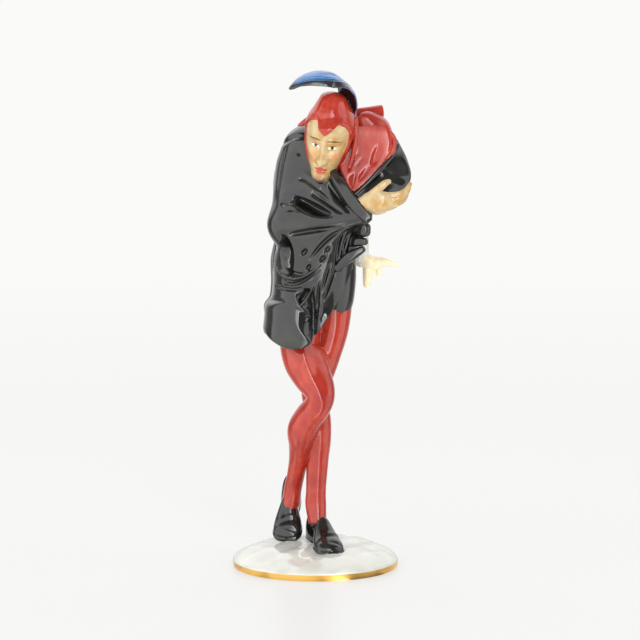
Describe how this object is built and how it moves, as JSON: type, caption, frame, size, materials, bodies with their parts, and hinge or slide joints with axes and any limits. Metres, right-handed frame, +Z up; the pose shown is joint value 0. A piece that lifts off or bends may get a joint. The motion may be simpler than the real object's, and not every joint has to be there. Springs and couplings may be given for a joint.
{
  "type": "porcelain devil figurine",
  "caption": "Painted porcelain figurine of a stooping devil in a red hood with a feather and a black cloak, legs crossed, on a round domed base with a gilded rim.",
  "frame": {"origin": "centre of the round base's underside, which the figurine stands on", "axes": "+Z up through the figure, the figure faces -Y, +X to its left hand"},
  "size_m": [0.115, 0.107, 0.3196],
  "materials": {
    "porcelain": "glazed porcelain with overglaze enamel painting and a burnished gold rim"
  },
  "bodies": {
    "root": {"figurine": "porcelain"}
  },
  "joints": []
}
